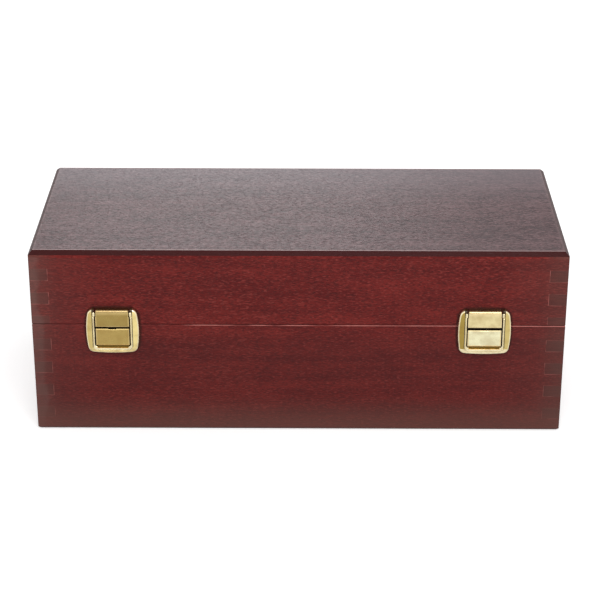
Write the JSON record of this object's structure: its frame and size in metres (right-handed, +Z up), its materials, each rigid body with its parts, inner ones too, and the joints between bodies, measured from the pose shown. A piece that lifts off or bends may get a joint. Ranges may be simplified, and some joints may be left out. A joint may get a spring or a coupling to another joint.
{
  "type": "wooden microphone box",
  "caption": "Finger-jointed wooden case with a hinged bevelled lid, brass snap latches and foam cut out for a microphone and its mount.",
  "frame": {"origin": "centre of the underside of the closed case", "axes": "+X to the right along the long side, +Y from the latches at the front to the hinges at the back, +Z up"},
  "size_m": [0.32, 0.1462, 0.1185],
  "materials": {
    "stained_wood": "satin",
    "top_veneer": "satin",
    "plywood": "matte",
    "foam": "matte",
    "brass": "satin",
    "spring_steel": "satin"
  },
  "bodies": {
    "base": {"base_front_panel": "stained_wood", "base_back_panel": "stained_wood", "base_left_side": "stained_wood", "base_right_side": "stained_wood", "base_bottom_panel": "plywood", "base_foam_pad": "foam", "base_foam_insert": "foam", "left_hinge_base_leaf": "brass", "left_hinge_pin": "brass", "left_hinge_base_screws": "brass", "left_latch_frame": "brass", "left_latch_pin": "brass", "left_latch_spring": "spring_steel", "left_latch_screws": "brass", "right_hinge_base_leaf": "brass", "right_hinge_pin": "brass", "right_hinge_base_screws": "brass", "right_latch_frame": "brass", "right_latch_pin": "brass", "right_latch_spring": "spring_steel", "right_latch_screws": "brass"},
    "lid": {"lid_front_panel": "stained_wood", "lid_back_panel": "stained_wood", "lid_left_side": "stained_wood", "lid_right_side": "stained_wood", "lid_top_panel": "top_veneer", "lid_foam_pad": "foam", "left_hinge_lid_leaf": "brass", "left_hinge_lid_screws": "brass", "left_latch_keeper": "brass", "right_hinge_lid_leaf": "brass", "right_hinge_lid_screws": "brass", "right_latch_keeper": "brass"},
    "left_lever": {"left_latch_lever": "brass"},
    "right_lever": {"right_latch_lever": "brass"}
  },
  "joints": [
    {"name": "lid_hinge", "type": "hinge", "parent": "base", "child": "lid", "pos_m": [0, 0.0687, 0.071], "axis": [-1, 0, 0], "range_deg": [0, 100]},
    {"name": "left_latch_lever_pivot", "type": "hinge", "parent": "base", "child": "left_lever", "pos_m": [-0.1114, -0.0729, 0.06765], "axis": [-1, 0, 0], "range_deg": [0, 20], "stiffness_Nm_per_rad": 0.02, "springref_deg": -17.19, "deforming": ["left_latch_spring"]},
    {"name": "right_latch_lever_pivot", "type": "hinge", "parent": "base", "child": "right_lever", "pos_m": [0.1114, -0.0729, 0.06765], "axis": [-1, 0, 0], "range_deg": [0, 20], "stiffness_Nm_per_rad": 0.02, "springref_deg": -17.19, "deforming": ["right_latch_spring"]}
  ]
}
